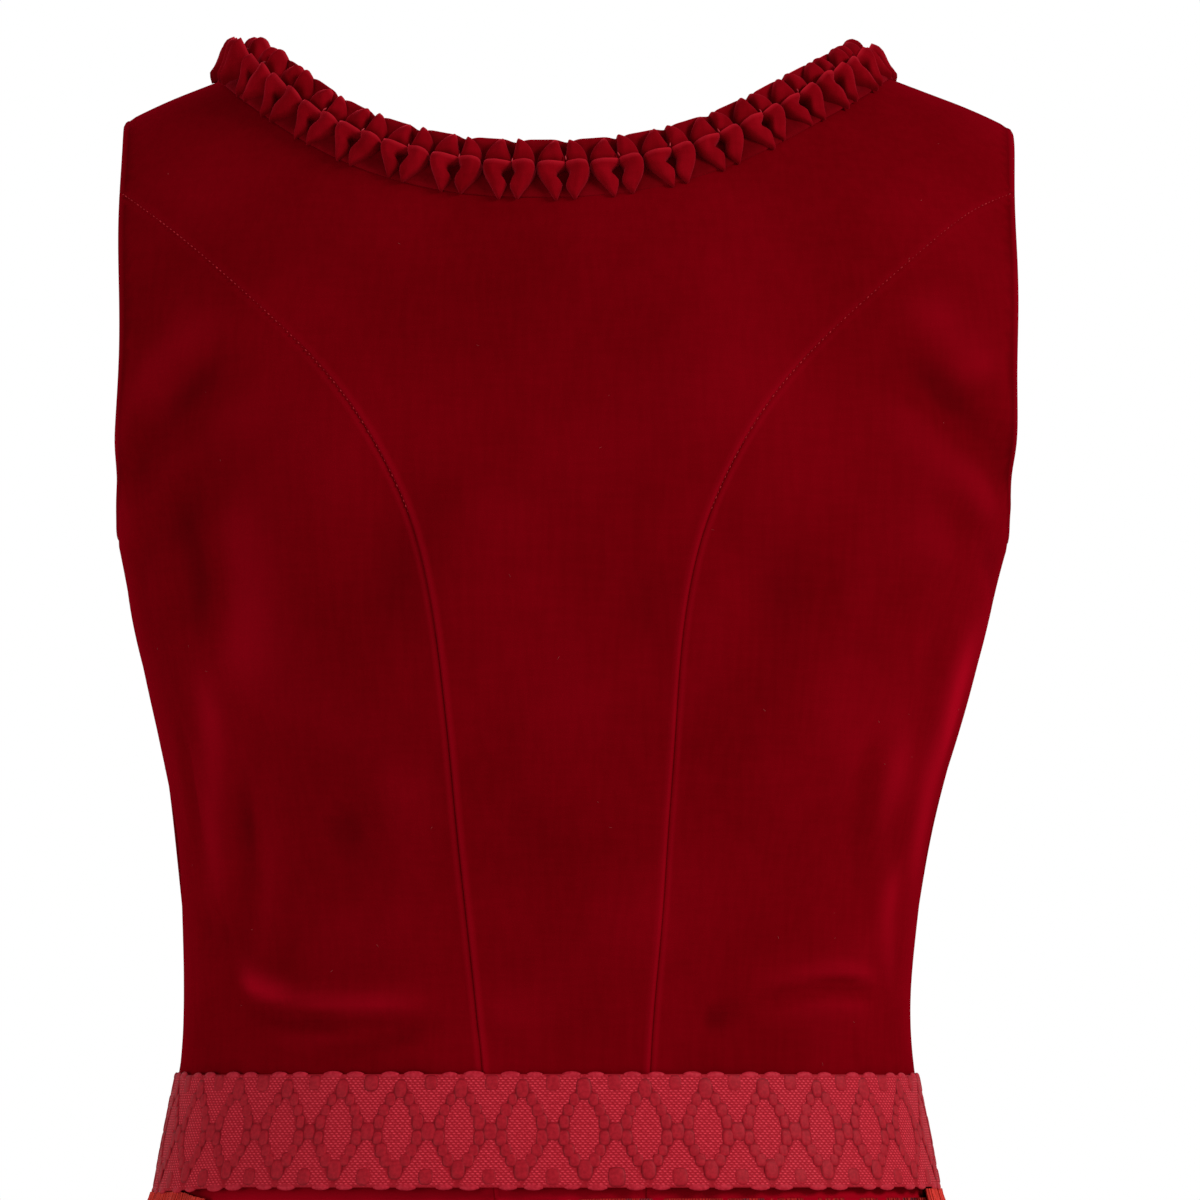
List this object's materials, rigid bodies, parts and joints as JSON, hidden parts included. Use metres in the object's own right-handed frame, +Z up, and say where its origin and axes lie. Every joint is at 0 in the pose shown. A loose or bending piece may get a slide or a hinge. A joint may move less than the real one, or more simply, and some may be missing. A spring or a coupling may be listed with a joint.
{
  "type": "dirndl",
  "caption": "Sleeveless velvet dirndl, worn form: scooped neck with frog-mouth trim, princess seams, woven ribbon waistband, gathered skirt and apron.",
  "frame": {"origin": "midway between the two shoulder lines, where the wearer carries the dress", "axes": "+Z up, +Y out of the wearer's back, +X to the wearer's left, so the front faces -Y"},
  "size_m": [0.601, 0.4678, 1.0852],
  "materials": {
    "velvet": "dark red velvet with a short soft nap",
    "trim_velvet": "dark red velvet, pleated",
    "ribbon": "woven ribbon with satin pads on twill",
    "skirt_cloth": "woven cotton in red with muted patches",
    "apron_silk": "orange-red silk with a soft sheen"
  },
  "bodies": {
    "root": {"bodice_back_centre": "velvet", "bodice_back_side_left": "velvet", "bodice_back_side_right": "velvet", "bodice_front_centre_left": "velvet", "bodice_front_centre_right": "velvet", "bodice_front_side_left": "velvet", "bodice_front_side_right": "velvet", "neck_trim": "trim_velvet", "waist_ribbon": "ribbon", "skirt_back": "skirt_cloth", "skirt_front": "skirt_cloth", "apron": "apron_silk"}
  },
  "joints": []
}
